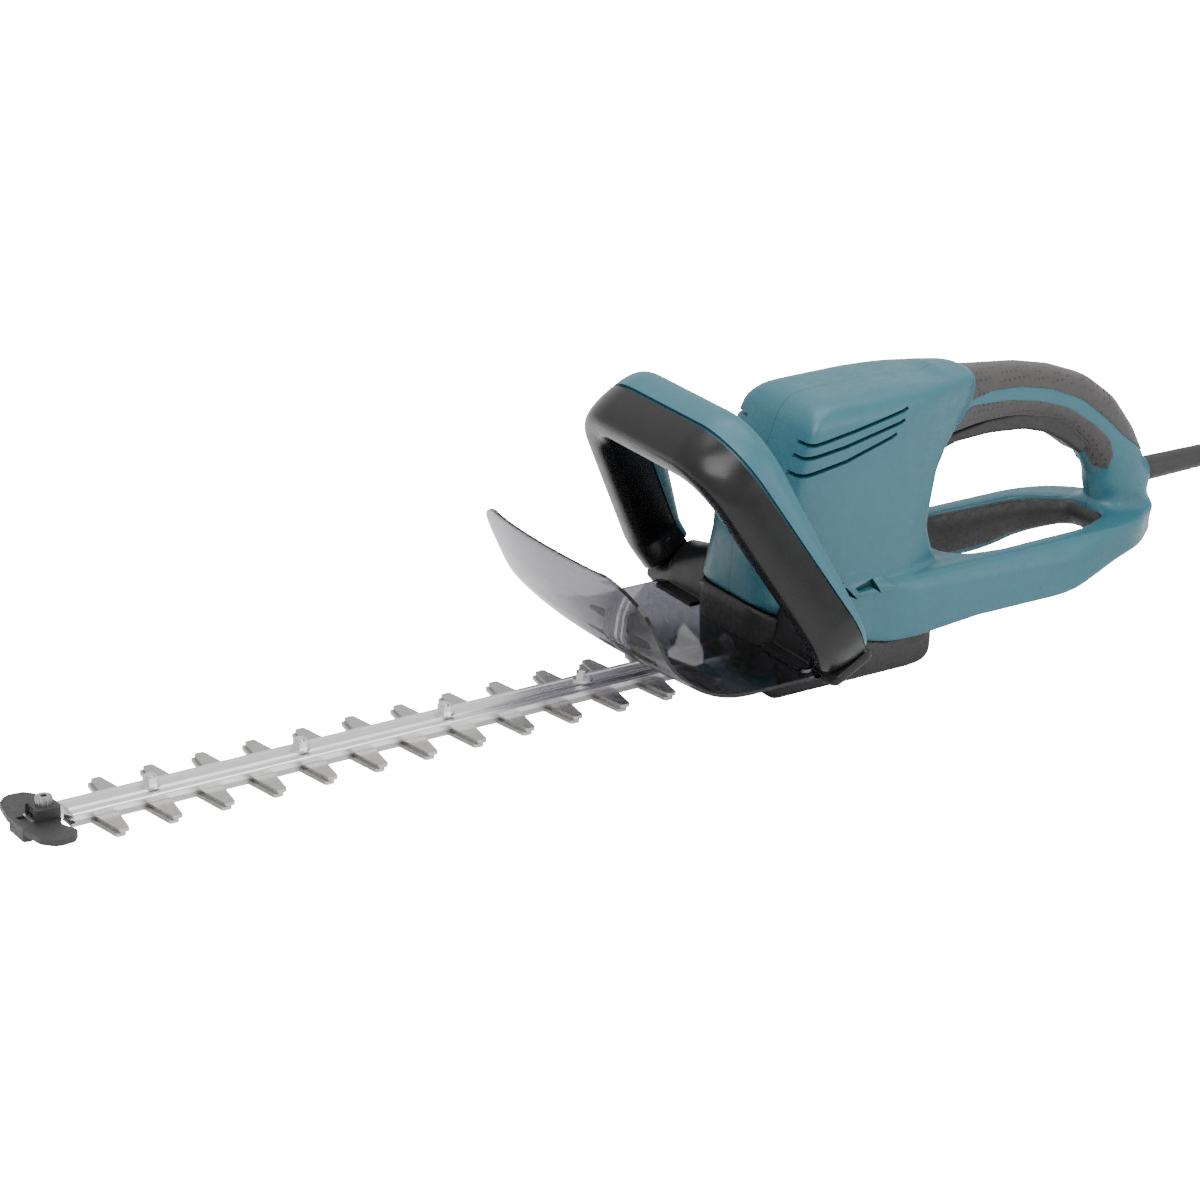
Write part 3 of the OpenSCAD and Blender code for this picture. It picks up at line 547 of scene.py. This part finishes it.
# ---- housing ----
BODY_SIDE = outline([[-71.5, 67.5, 3], [2, 33.6, 30], [30, 27.4, 30], [72, 29.5, 6], [82, 64, 10],
                     [68, 102, 24], [78, 138, 14], [118, 196.4, 2], [40, 205, 100],
                     [-26, 204.5, 27], [-66.5, 104, 40]])
BODY_FRONT = outline([[-50, 20, 4], [50, 20, 4], [50, 112, 40], [44, 205, 24], [-44, 205, 24], [-50, 112, 40]])
BODY_PLAN = outline(mirrored([[-72, -50, 30], [42, -50, 34], [119, -23, 8]]))
UPPER_PLAN = outline(mirrored([[-72, -50, 46], [42, -50, 34], [119, -23, 8]]))
RING_PLAN = outline(mirrored([[-10, -49.5, 4], [12, -51, 20], [50, -59, 40], [180, -62, 80],
                              [250, -47, 60], [287, -14, 30]]))
HOLE_PLAN = outline(mirrored([[91, -33, 24], [130, -40, 40], [205, -38, 50], [239, -19, 16]]))
RING_SIDE = outline([[-10, 39.2, 0], [2, 33.6, 30], [30, 27.4, 30], [100, 34, 30], [180, 34.5, 150],
                     [240, 50, 120], [290, 47, 8], [290, 64, 8], [264, 68, 20], [200, 74, 60], [-10, 75, 2]])
RING_FRONT = outline([[-62, 26, 6], [62, 26, 6], [62, 58, 5], [52, 73.6, 8], [-52, 73.6, 8], [-62, 58, 5]])
GRIP_OUTER = [[96, 199, 0], [118, 196.5, 40], [172, 189.5, 60], [200, 182.5, 60], [228, 171, 50],
              [252, 152, 50], [269, 128, 50], [281, 104, 40], [285, 84, 20], [288, 62, 4]]
GRIP_INNER = [[242, 63, 4], [241, 76, 10], [237, 97, 20], [224, 119, 40], [206, 137, 40], [187, 147.5, 50],
              [160, 154, 60], [131, 154, 60], [101, 150, 14], [74, 130, 10]]
GRIP_SIDE = outline((GRIP_OUTER + GRIP_INNER)[::-1])
GLAND_Z = 88


def body_field(p):
    x, y, z = p
    upper = np.clip((z - 70) / 34, 0, 1)
    plan = inside_of(BODY_PLAN, x, y) * (1 - upper) + inside_of(UPPER_PLAN, x, y) * upper
    side = both(inside_of(BODY_SIDE, x, z), plan, 8)
    return both(side, inside_of(BODY_FRONT, y, z), 8)


def ring_field(p):
    x, y, z = p
    band = both(inside_of(RING_SIDE, x, z), inside_of(RING_PLAN, x, y), 5)
    band = both(band, inside_of(RING_FRONT, y, z), 4)
    return without(band, inside_of(HOLE_PLAN, x, y), 5)


def grip_field(p, grow=0.0):
    x, y, z = p
    thick = np.interp(x, [90, 118, 160, 225, 262], [30, 23, 19, 22, 24]) + grow
    wide = np.interp(x, [90, 104, 120, 150, 240, 290], [28, 24.5, 21, 19.4, 19.6, 21]) + grow
    across = np.maximum(1 + (inside_of(GRIP_SIDE, x, z) - grow) / thick, 0)
    n = 2.35
    return ((across ** n + (np.abs(y) / wide) ** n) ** (1 / n) - 1) * np.minimum(thick, wide)


def shell_field(p):
    whole = either(body_field(p), ring_field(p), 5)
    whole = either(whole, grip_field(p), 12)
    raised = np.clip(0.5 - inside_of(LATCH_PANEL, p[0], p[2]) / 1.5, 0, 1)
    whole = whole - np.where(p[1] < 0, raised, 0)
    return either(whole, capsule(p, (252, 0, GLAND_Z), (278, 0, GLAND_Z), 13), 6)


def cutter(points, faces):
    """A mesh, in millimetres, for one boolean cut."""
    mesh = bpy.data.meshes.new("cutter")
    mesh.from_pydata((np.asarray(points, float) * MM).tolist(), [], faces)
    mesh.update()
    piece = bpy.data.objects.new("cutter", mesh)
    bpy.context.scene.collection.objects.link(piece)
    return piece


def prism(points, near, far):
    """A straight cutter: its outline lies in X and Z, and it runs along Y."""
    n = len(points)
    rows = [(x, y, z) for y in (near, far) for x, z in points]
    faces = [list(range(n)), list(range(2 * n - 1, n - 1, -1))]
    faces += [[i, (i + 1) % n, n + (i + 1) % n, n + i] for i in range(n)]
    piece = cutter(rows, faces)
    edit = bmesh.new()
    edit.from_mesh(piece.data)
    bmesh.ops.recalc_face_normals(edit, faces=edit.faces)
    edit.to_mesh(piece.data)
    edit.free()
    return piece


def carve(piece, cutters, sharp=40):
    """Cuts the cutters out of a piece and deletes them."""
    for tool in cutters:
        step = piece.modifiers.new("cut", "BOOLEAN")
        step.object = tool
        step.operation = "DIFFERENCE"
        step.solver = "EXACT"
    bpy.context.view_layer.update()
    graph = bpy.context.evaluated_depsgraph_get()
    mesh = bpy.data.meshes.new_from_object(piece.evaluated_get(graph))
    piece.modifiers.clear()
    piece.data = mesh
    for tool in cutters:
        bpy.data.objects.remove(tool, do_unlink=True)
    crisp(piece, sharp)


def ribbon(points, wide, narrow):
    """A slot's outline along a few points, from a wide end to a narrow one."""
    line = np.array(points, float)
    run = np.vstack([line[1] - line[0], line[2:] - line[:-2], line[-1] - line[-2]])
    side = np.stack([-run[:, 1], run[:, 0]], 1) / np.linalg.norm(run, axis=1)[:, None]
    half = np.linspace(wide, narrow, len(line))[:, None]
    return np.concatenate([line + side * half, (line - side * half)[::-1]])


VENTS = [[(-60, 184.5), (-55, 182), (-47, 180), (-31, 179.6), (1, 184), (42, 190.6), (46, 192)],
         [(-60, 169.8), (-47, 169.8), (-7, 174.4), (38, 183.2), (42, 184.8)],
         [(-57, 159.4), (-39, 159.6), (-6.5, 164.2), (31, 174.4), (35, 176.4)]]
LATCH_SLOTS = [[(-0.5, 73.2), (15.2, 76.7), (19.7, 66.3), (14.6, 70.3), (2.9, 69.3)],
               [(-13.7, 74.8), (-7.1, 74.9), (2.3, 64.1), (-3.6, 67.6), (-11.1, 70.6)],
               [(-15.7, 79.7), (-12.5, 81.2), (-8.2, 77.6), (-11.6, 77.6)]]
LATCH_PANEL = outline([[-15, 65.7, 0], [34.7, 66.8, 1], [20, 80.8, 2], [14.9, 85.4, 2], [-8.2, 83.4, 1],
                       [-15, 77.4, 1]])
VENT_DEPTH = (30, 60)
# The screw holes, as [x, z, distance of the head's seat from the centre plane].
SCREW_HOLES = [(-50, 84, 30), (84, 184, 30), (70, 50, 30), (186, 168, 12), (258, 128, 12), (272, 60, 12)]
SCREW_HOLE_R = 3.8
PAST_SIDE = 70


def circle(centre, r, count=24):
    return [(centre[0] + r * math.cos(2 * math.pi * k / count), centre[1] + r * math.sin(2 * math.pi * k / count))
            for k in range(count)]


def add_housing():
    shell = moulded("housing", shell_field, (-76, -66, 22), (304, 66, 210), 1.5, "machine", TEAL)
    tools = []
    for side in (-1, 1):
        for line in VENTS:
            tools.append(prism(ribbon(line, 1.7, 1.1), *sorted(side * y for y in VENT_DEPTH)))
    for x, z, seat in SCREW_HOLES:
        tools.append(prism(circle((x, z), SCREW_HOLE_R), seat, PAST_SIDE))
    for slot in LATCH_SLOTS:
        tools.append(prism(slot, -PAST_SIDE, -45))
    carve(shell, tools)
    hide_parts("housing_left", "housing_right")


add_housing()


# ---- base ----
BASE_SIDE = outline([[-62, 0, 10], [73, 0, 27], [75.5, 30, 1], [30, 26.9, 30], [2, 33.1, 30],
                     [-71.5, 67, 1], [-74, 60, 3], [-70, 20, 10]])
BASE_PLAN = outline(mirrored([[-74, -50, 30], [76, -50, 22]]))
BASE_FRONT = outline([[-44, 0, 8], [44, 0, 8], [50, 22, 16], [50, 72, 0], [-50, 72, 0], [-50, 22, 16]])


def base_field(p):
    x, y, z = p
    block = both(inside_of(BASE_SIDE, x, z), inside_of(BASE_PLAN, x, y), 3)
    block = both(block, inside_of(BASE_FRONT, y, z), 3)
    return without(block, capsule(p, (-120, 0, 22.5), (-50, 0, 22.5), 12.5), 2)


def add_base():
    base = moulded("base", base_field, (-76, -52, 0), (78, 52, 70), 1.5, "machine", DARK)
    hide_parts("base_cover")


add_base()


# ---- grips ----
TOP_GRIP_AREA = outline([[105, 176, 1], [134, 181, 20], [160, 179, 30], [187, 172.5, 30], [214, 160, 30],
                         [237, 141, 20], [254, 124.5, 20], [284, 103, 1], [312, 130, 1], [260, 190, 1],
                         [180, 215, 1], [96, 206, 1], [108, 194, 4]])
SIDE_GRIP_AREA = outline([[96, 161, 3], [104, 156.5, 4], [142, 157.3, 30], [169, 154.8, 30], [196, 143, 25],
                          [214, 128, 15], [221, 115, 8], [224.5, 104.5, 2], [242.5, 101.5, 2], [244.5, 112.5, 8],
                          [241, 124.5, 12], [227, 138.5, 25], [203.5, 155.5, 30], [176.5, 165.6, 30],
                          [150, 171.2, 30], [116, 174, 20], [103, 171, 6]])


def grip_skin(p, area):
    x, y, z = p
    band = without(grip_field(p, 0.7), grip_field(p, -1.0), 0.5)
    band = without(band, body_field(p) + 0.6, 0.5)
    return both(band, inside_of(area, x, z), 0.8)


def add_grips():
    top = moulded("top_pad", lambda p: grip_skin(p, TOP_GRIP_AREA), (94, -30, 98), (292, 30, 204), 1.1,
                  "machine", GRIP)
    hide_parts("top_grip")
    for side, name in ((-1, "side_grip_left"), (1, "side_grip_right")):
        low, high = sorted((side * 8, side * 30))
        pad = moulded("pad_" + name, lambda p: both(grip_skin(p, SIDE_GRIP_AREA), 8 - side * p[1], 0.8),
                      (94, low, 98), (248, high, 176), 1.1, "machine", GRIP)
        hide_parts(name)


add_grips()


# ---- trigger ----
TRIGGER_SIDE = outline([[84, 131, 2], [93, 139.5, 8], [110, 145.2, 20], [139, 146.3, 60], [170, 143.6, 60],
                        [190, 137, 40], [206, 127.2, 30], [221, 115.5, 2], [227, 121, 3], [227, 142, 4],
                        [216, 147, 8], [190, 154, 20], [165, 156.5, 30], [140, 157, 20], [104, 152, 20],
                        [88, 146, 6]])
TRIGGER_HALF, TRIGGER_PIVOT, TRIGGER_BORE = 13, (219, 137.5), 2.5


def trigger_field(p):
    x, y, z = p
    bar = both(inside_of(TRIGGER_SIDE, x, z), np.abs(y) - TRIGGER_HALF, 3.5)
    bore = np.hypot(x - TRIGGER_PIVOT[0], z - TRIGGER_PIVOT[1]) - TRIGGER_BORE
    return without(bar, bore, 0.3)


def add_trigger():
    trigger = moulded("trigger_bar", trigger_field, (82, -14, 113), (229, 14, 159), 1.1, "trigger", SATIN,
                      50)
    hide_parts("rear_trigger")


add_trigger()


# ---- liner of the ring's opening: a roll of dark plastic ----
def liner_field(p):
    x, y, z = p
    middle = np.interp(x, [90, 180, 245], [54.5, 55, 60.5])
    half = np.interp(x, [90, 180, 245], [17, 15, 8])
    hole = inside_of(HOLE_PLAN, x, y)
    roll = 1.4 + 4.2 * np.clip(1 - ((z - middle) / half) ** 2, 0, 1)
    band = both(hole - 0.3, -hole - roll, 0.6)
    return both(band, np.abs(z - middle) - half, 1.5)


def add_liner():
    liner = moulded("ring_roll", liner_field, (88, -42, 34), (246, 42, 76), 1.3, "machine", SATIN)
    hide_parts("ring_liner")


add_liner()


# ---- front handle and its lever ----
LOOP_AT = (-38, 60)
LEAN = math.radians(28.75)
# Half widths of the loop and of its core, the lever's wall and how far lever and core reach forwards.
TUBE, CORE, LEVER_WALL, LEVER_DEEP, CORE_DEEP = 14.5, 11.1, 2.6, 32, 24
FOOT, HIP, CROWN = np.array([104.0, 5.0]), np.array([112.0, 25.0]), np.array([71.0, 159.0])
FOOT_RUN = unit(HIP - FOOT)


def loop_point(u, v, d):
    """A point in the loop's leaning plane: u across, v up, d forwards out of it."""
    return (LOOP_AT[0] - math.sin(LEAN) * v - math.cos(LEAN) * d, u,
            LOOP_AT[1] + math.cos(LEAN) * v - math.sin(LEAN) * d)


def in_loop(p):
    """The same coordinates for points of a field, with both legs folded onto one."""
    x, y, z = p
    dx, dz = x - LOOP_AT[0], z - LOOP_AT[1]
    return (np.abs(y), dz * math.cos(LEAN) - dx * math.sin(LEAN), -dx * math.cos(LEAN) - dz * math.sin(LEAN))


def loop_stations(up):
    """[u, v, outward angle] from one foot over the top to the other, starting a little up from the foot."""
    start = FOOT + FOOT_RUN * up
    half = [[-start[0], start[1], 0], [-HIP[0], HIP[1], 22], [-CROWN[0], CROWN[1], 40]]
    line = outline(half + [[-u, v, r] for u, v, r in half[::-1]], 16)
    run = np.vstack([line[1] - line[0], line[2:] - line[:-2], line[-1] - line[-2]])
    return [(u, v, math.atan2(r[1], r[0]) + math.pi / 2) for (u, v), r in zip(line, run)]


def power(v, e):
    return np.sign(v) * np.abs(v) ** e


def bow(half, depth, n=28):
    t = np.pi - np.pi * np.arange(n + 1) / n
    return np.stack([half * power(np.cos(t), 0.6), depth * power(np.sin(t), 0.8)], 1)


def loop_ring(station, section):
    u, v, a = station
    return [loop_point(u + math.cos(a) * q[0], v + math.sin(a) * q[0], q[1]) for q in section]


def lever_section(v, shrink):
    """A channel round the front of the handle's core, open at the seam."""
    outer = bow(TUBE - shrink, LEVER_DEEP - shrink)
    inner = bow(TUBE - LEVER_WALL - shrink, LEVER_DEEP - LEVER_WALL - shrink)[::-1]
    rim = 0.5 + v * 0.0145
    outer[:, 1], inner[:, 1] = np.maximum(outer[:, 1], rim), np.maximum(inner[:, 1], rim)
    return np.concatenate([outer, inner])


def handle_section(v, shrink):
    """The teal back, deeper towards the top, and the core that the lever goes round."""
    back = bow(TUBE - shrink, shrink - 3.5 - v * 0.122)[::-1]
    return np.concatenate([back, bow(CORE - shrink, CORE_DEEP - shrink)])


def rounded_ends(up, section, reach=2.5):
    """Rings along the loop, drawn in over the last few millimetres at both feet."""
    stations, ends = loop_stations(up), []
    for t, shrink in ((0, reach), (0.12, reach * 0.55), (0.45, reach * 0.2), (1, 0)):
        u, v = FOOT + FOOT_RUN * (up + t * reach)
        angle = math.atan2(FOOT_RUN[1], FOOT_RUN[0]) - math.pi / 2
        ends.append((loop_ring((-u, v, math.pi - angle), section(v, shrink)),
                     loop_ring((u, v, angle), section(v, shrink))))
    rings = [left for left, _ in ends] + [loop_ring(s, section(s[1], 0)) for s in stations[1:-1]]
    return rings + [right for _, right in ends[::-1]]


def add_handle():
    loop = lofted("handle_loop", rounded_ends(3.5, handle_section), "machine", TEAL_HANDLE)
    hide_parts("front_handle")
    lever = lofted("lever_loop", rounded_ends(0, lever_section, 1.6), "lever", GLOSS, 50)
    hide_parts("front_lever")


add_handle()


# ---- arms between the loop's feet and the body ----
ARM_UNDER = [[36, -26, 0], [76, -26, 0], [118, -8, 2]]
ARM_TOP = outline(ARM_UNDER + [[118, -2.4, 1], [92, 8, 1], [88, 13.5, 2], [70, 19, 14], [36, 30, 0]])
SHIELD_TOP = 41.7
ARM_BACK, ARM_DEEP, ARM_END = 4, 34, 101.2
LEVER_PIVOT = (18, 11)


def arm_field(p):
    """An arm with its slanted front, the tray over the shield and the tongue up into the loop's leg."""
    x, y, z = p
    u, v, d = in_loop(p)
    arm = both(both(inside_of(ARM_TOP, u, v), -ARM_BACK - d, 6), d - ARM_DEEP, 6)
    arm = both(arm, 0.763 * d + 0.649 * v - 22.06, 8)
    tray = np.maximum(np.maximum(np.abs(x + 62.8) - 9.2, np.abs(z - SHIELD_TOP - 1.8) - 1.8),
                      np.abs(u - 66) - 22)
    arm = either(arm, tray, 1)
    arm = without(arm, np.minimum(np.maximum(z - SHIELD_TOP - 0.1, u - ARM_END), z - 37), 0.8)
    tongue = np.maximum(np.abs((u - FOOT[0]) * FOOT_RUN[1] - (v - FOOT[1]) * FOOT_RUN[0]) - 5.2,
                        np.abs((u - FOOT[0]) * FOOT_RUN[0] + (v - FOOT[1]) * FOOT_RUN[1] - 7) - 15)
    tongue = np.maximum(tongue, np.abs(d - 8.75) - 7.75)
    pin = np.hypot(v - LEVER_PIVOT[0], d - LEVER_PIVOT[1])
    bore = np.minimum(pin - 3.1, np.maximum(pin - 6, np.abs(u - 109.2) - 3.6))
    tongue = np.maximum(tongue, -bore)
    arm = np.minimum(arm, tongue)
    shell = np.minimum(np.minimum(body_field(p), base_field(p)), ring_field(p))
    return without(arm, shell - 0.4, 0.4)


def add_arms():
    for side, name in ((-1, "arm_left"), (1, "arm_right")):
        low, high = sorted((side * 30, side * 120))
        arm = moulded(name, arm_field, (-92, low, 34), (-26, high, 92), 1.2, "machine", ARMS, 50)
        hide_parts("handle_bracket")


add_arms()


# ---- shield ----
SHIELD_HALF, SHIELD_T, SHIELD_Z = 100, 2.6, 40.2
FLAT_END, FLAP_R, FLAP_RUN, FLAP_CORNER, BULGE = -118, 75, 54, 36, 14
FLAP_ANGLE = math.radians(66)


def shield_stations():
    """[x, z, bulge, half width] from the shield's back to the flap's top edge."""
    rows = [(x, SHIELD_Z, 0, SHIELD_HALF) for x in np.linspace(-56, FLAT_END, 8)[:-1]]

    def bent(a):
        return FLAT_END - FLAP_R * math.sin(a), SHIELD_Z + FLAP_R * (1 - math.cos(a))
    for t in np.arange(15) / 14:
        rows.append((*bent(FLAP_ANGLE * t), BULGE * t ** 1.2, SHIELD_HALF))
    for c in np.radians(np.arange(6, 91, 6)):
        run = FLAP_RUN - FLAP_CORNER * (1 - math.sin(c))
        x, z = bent(FLAP_ANGLE)
        rows.append((x - math.cos(FLAP_ANGLE) * run, z + math.sin(FLAP_ANGLE) * run,
                     BULGE - 5 * c / (math.pi / 2), SHIELD_HALF - FLAP_CORNER * (1 - math.cos(c))))
    return rows


def add_shield():
    rows, points, faces = shield_stations(), [], []
    across = 24
    for x, z, bulge, half in rows:
        for y in np.linspace(-half, half, across + 1):
            points.append((x - bulge * (1 - (y / SHIELD_HALF) ** 2), y, z))
    for i in range(len(rows) - 1):
        for j in range(across):
            a = i * (across + 1) + j
            faces.append([a, a + 1, a + across + 2, a + across + 1])
    shield = new_object("clear_shield", points, faces, "machine", SMOKE, 80)
    thick = shield.modifiers.new("thickness", "SOLIDIFY")
    thick.thickness = SHIELD_T * MM
    thick.offset = 0
    rim = shield.modifiers.new("rim", "BEVEL")
    rim.width = 0.9 * MM
    rim.segments = 3
    rim.limit_method = "ANGLE"
    rim.angle_limit = math.radians(50)
    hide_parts("shield")


add_shield()


# ---- studio ----
def add_floor():
    mesh = bpy.data.meshes.new("floor")
    mesh.from_pydata([(-30, -30, 0), (30, -30, 0), (30, 30, 0), (-30, 30, 0)], [], [(0, 1, 2, 3)])
    floor = bpy.data.objects.new("floor", mesh)
    bpy.context.scene.collection.objects.link(floor)
    r = Recipe("pale_floor", 0.6)
    r.colours(r.noise(2.0), (0.93, 0.93, 0.93), (0.95, 0.95, 0.95))
    # The floor glows for the camera only, so the ground is white and the light stays soft.
    seen = r.node("ShaderNodeLightPath").outputs["Is Camera Ray"]
    r.shader.inputs["Emission Color"].default_value = (1, 1, 1, 1)
    r.join(r.sum_up("MULTIPLY", seen, 20.0), r.shader.inputs["Emission Strength"])
    mesh.materials.append(r.material)


def add_light(name, at, size, power_w, target=(-0.1, 0, 0.1)):
    data = bpy.data.lights.new(name, "AREA")
    data.shape = "RECTANGLE"
    data.size, data.size_y = size
    data.energy = power_w
    lamp = bpy.data.objects.new(name, data)
    bpy.context.scene.collection.objects.link(lamp)
    lamp.location = at
    lamp.rotation_euler = (Vector(at) - Vector(target)).to_track_quat("Z", "Y").to_euler()


def add_studio():
    add_floor()
    world = bpy.data.worlds.new("studio")
    world.use_nodes = True
    world.node_tree.nodes["Background"].inputs["Color"].default_value = (1, 1, 1, 1)
    world.node_tree.nodes["Background"].inputs["Strength"].default_value = 1.05
    bpy.context.scene.world = world
    add_light("key", (-1.2, -1.0, 2.2), (1.6, 1.2), 42)
    add_light("fill", (1.0, -2.2, 1.2), (1.5, 1.0), 16)
    add_light("top", (0.2, 0.4, 2.4), (2.0, 1.4), 30)


add_studio()
